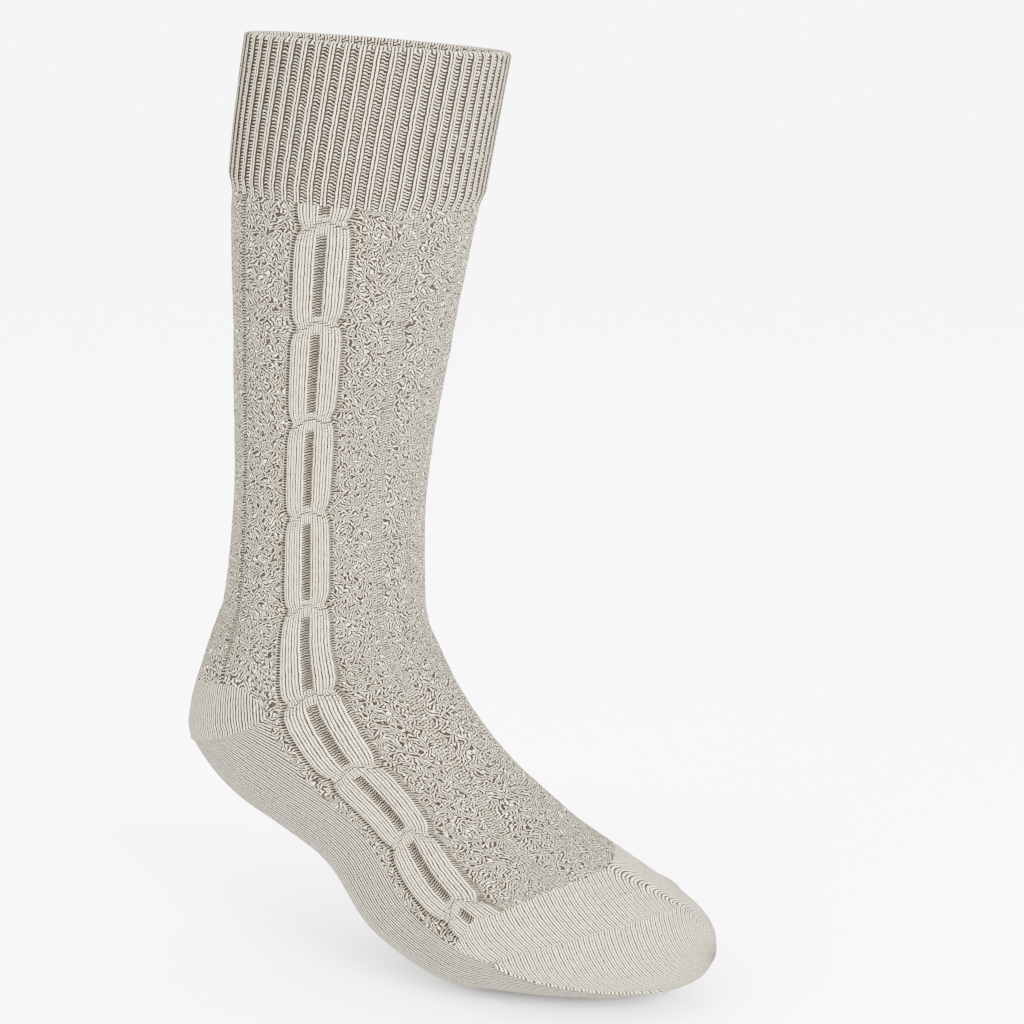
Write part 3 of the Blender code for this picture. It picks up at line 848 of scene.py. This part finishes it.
def tip(shell, ring, first, weave, reach, flip):
    """Closes a ring at the toe with smaller rings and a last small face."""
    middle = ring.mean(axis=0)
    ahead = np.array((reach, 0.0, 0.0))
    turns = np.radians(TIP_ANGLES)
    rows = np.stack([middle + (ring - middle) * np.cos(a) + ahead * np.sin(a) for a in turns])
    weaves = np.broadcast_to(weave[None], (len(rows), *weave.shape))
    count = len(ring)
    start = shell.grid(rows, weaves, np.zeros(weaves.shape), True, flip)
    shell.strip(numbers(first, 1, count, True), numbers(start, 1, count, True), weave, not flip)
    end = numbers(start + (len(rows) - 1) * count, 1, count, False)
    places = weave[None, :-1]
    shell.add(end[None, :], places, np.zeros(places.shape), flip)


class Value:
    """A number that material nodes work out."""

    def __init__(self, net, socket):
        self.net = net
        self.socket = socket

    def __add__(self, other):
        return self.net.math("ADD", self, other)

    def __sub__(self, other):
        return self.net.math("SUBTRACT", self, other)

    def __rsub__(self, other):
        return self.net.math("SUBTRACT", other, self)

    def __mul__(self, other):
        return self.net.math("MULTIPLY", self, other)

    def __pow__(self, other):
        return self.net.math("POWER", self, other)

    __radd__ = __add__
    __rmul__ = __mul__

    def fract(self):
        return self.net.math("FRACT", self)

    def floor(self):
        return self.net.math("FLOOR", self)

    def round(self):
        return self.net.math("ROUND", self)

    def least(self, other):
        return self.net.math("MINIMUM", self, other)

    def size(self):
        return self.net.math("ABSOLUTE", self)

    def wave(self):
        return self.net.math("SINE", self * 6.2832)

    def swing(self):
        """1 at each whole number, and 0 halfway between them."""
        return (self.fract() * 2.0 - 1.0).size()

    def mix(self, other, share):
        return self + (other - self) * share


class Net:
    """Node building for one material."""

    def __init__(self, name):
        self.material = bpy.data.materials.new(name)
        self.material.use_nodes = True
        self.tree = self.material.node_tree
        self.shader = self.tree.nodes["Principled BSDF"]

    @classmethod
    def of(cls, tree):
        net = cls.__new__(cls)
        net.tree = tree
        return net

    def node(self, kind, **settings):
        made = self.tree.nodes.new(kind)
        for key, value in settings.items():
            setattr(made, key, value)
        return made

    def plug(self, target, value):
        if isinstance(value, Value):
            self.tree.links.new(value.socket, target)
        else:
            target.default_value = value

    def math(self, operation, *values):
        made = self.node("ShaderNodeMath", operation=operation)
        for target, value in zip(made.inputs, values):
            self.plug(target, value)
        return Value(self, made.outputs[0])

    def places(self, layer):
        split = self.node("ShaderNodeSeparateXYZ")
        source = self.node("ShaderNodeUVMap", uv_map=layer)
        self.tree.links.new(source.outputs[0], split.inputs[0])
        return Value(self, split.outputs[0]), Value(self, split.outputs[1])

    def vector(self, x, y, z=0.0):
        made = self.node("ShaderNodeCombineXYZ")
        for target, value in zip(made.inputs, (x, y, z)):
            self.plug(target, value)
        return Value(self, made.outputs[0])

    def noise(self, vector, scale, detail=2.0):
        made = self.node("ShaderNodeTexNoise", noise_dimensions="3D")
        self.plug(made.inputs["Vector"], vector)
        made.inputs["Scale"].default_value = scale
        made.inputs["Detail"].default_value = detail
        return Value(self, made.outputs[0])

    def random(self, vector):
        made = self.node("ShaderNodeTexWhiteNoise", noise_dimensions="3D")
        self.plug(made.inputs["Vector"], vector)
        return Value(self, made.outputs[0])

    def cells(self, vector, scale, randomness):
        made = self.node("ShaderNodeTexVoronoi", voronoi_dimensions="2D", feature="F1")
        self.plug(made.inputs["Vector"], vector)
        made.inputs["Scale"].default_value = scale
        made.inputs["Randomness"].default_value = randomness
        return Value(self, made.outputs["Distance"])

    def ramp(self, value, low, high):
        made = self.node("ShaderNodeMapRange", interpolation_type="SMOOTHSTEP")
        self.plug(made.inputs["Value"], value)
        made.inputs["From Min"].default_value = low
        made.inputs["From Max"].default_value = high
        return Value(self, made.outputs[0])

    def colour(self, share, low, high, blend="MIX"):
        made = self.node("ShaderNodeMix", data_type="RGBA", blend_type=blend)
        self.plug(made.inputs["Factor"], share)
        for target, value in ((made.inputs["A"], low), (made.inputs["B"], high)):
            self.plug(target, value if isinstance(value, Value) else (*value, 1.0))
        return Value(self, made.outputs["Result"])


def plain_height(net, across, along, groove, depth):
    """Height of plain stitches: wales parted by grooves, each of two legs that meet in joints."""
    inside = (across.fract() - 0.5).size() * 2.0
    between = net.ramp(inside, groove, 0.84)
    middle = 1.0 - net.ramp(inside, 0.12, 0.46)
    joint = net.ramp((along + inside * 0.7).swing(), 0.45, 1.0)
    legs = (1.0 - between).least(1.0 - middle * (joint * 0.10 + 0.90))
    height = legs * (1.0 - joint * 0.45)
    return height * depth + (1.0 - depth)


def rung_height(net, across, along, slant, rungs):
    """Height of the threads that cross a ladder, between waved and slanting."""
    bend = across.wave() * (0.25 * (1.0 - slant)) + across * slant
    return 1.0 - net.ramp((along * rungs + bend).swing(), 0.12, 0.64)


def moss_height(net, u, v):
    """Height of irregular moss stitch: short strokes that stand or lie at random, cell by cell."""
    warp = net.noise(net.vector(u * 0.8, v * 0.47, 4.0), 1.0)
    twist = net.noise(net.vector(u * 0.8, v * 0.47, 17.0), 1.0)
    u = u * 1.20 + (warp - 0.5) * 1.7
    v = v * 0.52 + (twist - 0.5) * 1.7
    lean = net.random(net.vector(u.floor(), v.floor(), 3.0)).round() * 2.0 - 1.0
    offset = net.random(net.vector(u.floor(), v.floor(), 8.0))
    turned = (net.random(net.vector(u.floor(), v.floor(), 14.0)) * 0.9).round()
    upright = u * 2.0 + lean * v.fract() * 1.15
    lying = v * 2.0 + lean * u.fract() * 1.15
    stroke = net.ramp((upright.mix(lying, turned) + offset).swing(), 0.10, 0.58)
    stop = net.ramp(v.swing(), 0.55, 1.0)
    strokes = (1.0 - stroke) * (1.0 - stop * 0.5)
    distance = net.cells(net.vector(u * 1.7, v * 1.5), 1.0, 0.9)
    pebble = 1.0 - net.ramp(distance, 0.22, 0.62)
    return strokes * 1.02 + pebble * 0.06 - 0.04


def marled_colour(net, u, v, tone, light):
    """Yarn colour at a tone, a little duller in slow patches."""
    broad = net.noise(net.vector(u * 0.12, v * 0.062, 9.0), 1.0)
    base = net.colour(net.ramp(tone, 0.04, 0.98), DARK_PLY_AND_GAP_SHADE, light)
    tint = net.colour((broad - 0.5) * 0.5 + 0.25, CLEAR_TINT, DULL_TINT)
    return net.colour(1.0, base, tint, "MULTIPLY")


def knit_material(name, light, groove=0.50, depth=1.0, shade=0.30, slant=0.0, rungs=1.0):
    """Marled wool knit: plain stitches, moss stitch and ladder rungs, chosen by the zone map, with
    painted shade in the gaps between stitches and where the ladder weight lies.
    """
    net = Net(name)
    u, v = net.places("stitch")
    moss, ladder_and_shade = net.places("zone")
    drift = net.noise(net.vector(u, v), 0.45, 1.0)
    wander = net.noise(net.vector(u + 31.0, v * 0.47), 0.8)
    across = u + (wander - 0.5) * 0.30
    along = v + (drift - 0.5) * 0.8
    plain = plain_height(net, across, along, groove, depth)
    rung = rung_height(net, across, along, slant, rungs)
    height = plain.mix(moss_height(net, u, v), moss).mix(rung * 0.85, ladder_and_shade)
    stitch_tone = net.random(net.vector(across.floor(), along.floor()))
    flecks = net.noise(net.vector(u * 3.0, v * 1.7, 2.0), 1.0, 3.0)
    fibre = net.noise(net.vector(u * 9.0, v * 4.7, 5.0), 1.0)
    # Painted shade: the tone is darker where the stitch height is low, in grooves, joints and gaps, and
    # darker again by shade where the ladder weight lies
    tone = net.ramp(height, 0.12, 0.80) * (1.0 - ladder_and_shade * shade)
    tone = tone + (stitch_tone - 0.5) * 0.14 + (flecks - 0.5) * 0.36 + (fibre - 0.5) * 0.20
    inputs = net.shader.inputs
    net.plug(inputs["Base Color"], marled_colour(net, u, v, tone, light))
    net.plug(inputs["Roughness"], fibre * 0.16 + 0.80)
    inputs["Sheen Weight"].default_value = 0.08
    inputs["Sheen Roughness"].default_value = 0.55
    inputs["Specular IOR Level"].default_value = 0.25
    bump = net.node("ShaderNodeBump")
    bump.inputs["Strength"].default_value = 1.0
    bump.inputs["Distance"].default_value = BUMP_DEPTH
    net.plug(bump.inputs["Height"], height + (fibre - 0.5) * 0.25)
    net.plug(inputs["Normal"], Value(net, bump.outputs[0]))
    return net.material


def build_sock():
    """The seven parts of the sock, from the cuff down to the toe."""
    build_cuff(knit_material("ribbed_wool", PALE_YARN, groove=0.66))
    patterned = knit_material(
        "patterned_wool", PALE_YARN, groove=0.52, depth=0.76, shade=0.60, slant=0.45, rungs=1.15)
    build_leg(patterned)
    build_instep(patterned)
    build_heel(knit_material("heel_wool", HEEL_YARN, depth=0.88))
    build_sole(knit_material("sole_wool", SOLE_YARN))
    toe = knit_material("toe_wool", TOE_YARN, depth=0.76)
    build_toe_band(toe)
    build_toe_pocket(toe)


def seen_only(net, plain, seen):
    """A strength for the light given off and another for what is seen straight away."""
    path = net.node("ShaderNodeLightPath")
    return Value(net, path.outputs["Is Camera Ray"]) * (seen - plain) + plain


def floor_material():
    """A pale floor that glows up to the backdrop's white, with a painted shadow that dims the glow where
    the sock is near.
    """
    net = Net("pale_floor")
    place = net.node("ShaderNodeTexCoord")
    grain = net.noise(Value(net, place.outputs["Object"]), 60.0, 3.0)
    net.plug(net.shader.inputs["Base Color"], net.colour(grain, FLOOR_DARK, FLOOR_PALE))
    net.shader.inputs["Roughness"].default_value = 0.85
    net.shader.inputs["Emission Color"].default_value = (1.0, 1.0, 1.0, 1.0)
    # Painted shadow: ambient occlusion near the sock dims the floor's glow
    near = net.node("ShaderNodeAmbientOcclusion", samples=8)
    near.inputs["Distance"].default_value = SHADOW_REACH
    outside_painted_shadow = Value(net, near.outputs["AO"]) ** SHADOW_POWER
    net.plug(net.shader.inputs["Emission Strength"], seen_only(net, 0.0, FLOOR_GLOW) * outside_painted_shadow)
    return net.material


def build_stage():
    """One square of floor just under the lowest point."""
    height = min(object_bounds()[0][2], 0.0) - FLOOR_GAP
    size = FLOOR_REACH
    corners = [(-size, -size), (size, -size), (size, size), (-size, size)]
    mesh = bpy.data.meshes.new("floor")
    mesh.from_pydata([(x, y, height) for x, y in corners], [], [(0, 1, 2, 3)])
    mesh.materials.append(floor_material())
    floor = bpy.data.objects.new("floor", mesh)
    bpy.context.scene.collection.objects.link(floor)


def add_light(name, place, size, power):
    data = bpy.data.lights.new(name, "AREA")
    data.size = size
    data.energy = power
    lamp = bpy.data.objects.new(name, data)
    lamp.location = place
    lamp.rotation_mode = "QUATERNION"
    lamp.rotation_quaternion = (Vector(LAMP_TARGET) - Vector(place)).to_track_quat("-Z", "Y")
    bpy.context.scene.collection.objects.link(lamp)


def build_light():
    """A white backdrop all round and two soft lamps."""
    world = bpy.data.worlds.new("studio")
    world.use_nodes = True
    net = Net.of(world.node_tree)
    back = world.node_tree.nodes["Background"]
    back.inputs["Color"].default_value = (1.0, 1.0, 1.0, 1.0)
    net.plug(back.inputs["Strength"], seen_only(net, WORLD_LIGHT, WORLD_SEEN))
    bpy.context.scene.world = world
    for lamp in LAMPS:
        add_light(*lamp)


def build_camera():
    pitch = np.radians(CAMERA_PITCH)
    heading = np.radians(CAMERA_HEADING)
    level = np.cos(pitch)
    ahead = Vector((-np.sin(heading) * level, np.cos(heading) * level, -np.sin(pitch)))
    right = Vector((np.cos(heading), np.sin(heading), 0.0))
    up = right.cross(ahead)
    data = bpy.data.cameras.new("camera")
    data.sensor_width = SENSOR_WIDTH
    data.lens = CAMERA_LENS
    camera = bpy.data.objects.new("camera", data)
    turn = Matrix((right, up, -ahead)).transposed().to_4x4()
    camera.matrix_world = Matrix.Translation(CAMERA_PLACE) @ turn
    bpy.context.scene.collection.objects.link(camera)
    bpy.context.scene.camera = camera


build_sock()
build_stage()
build_light()
build_camera()
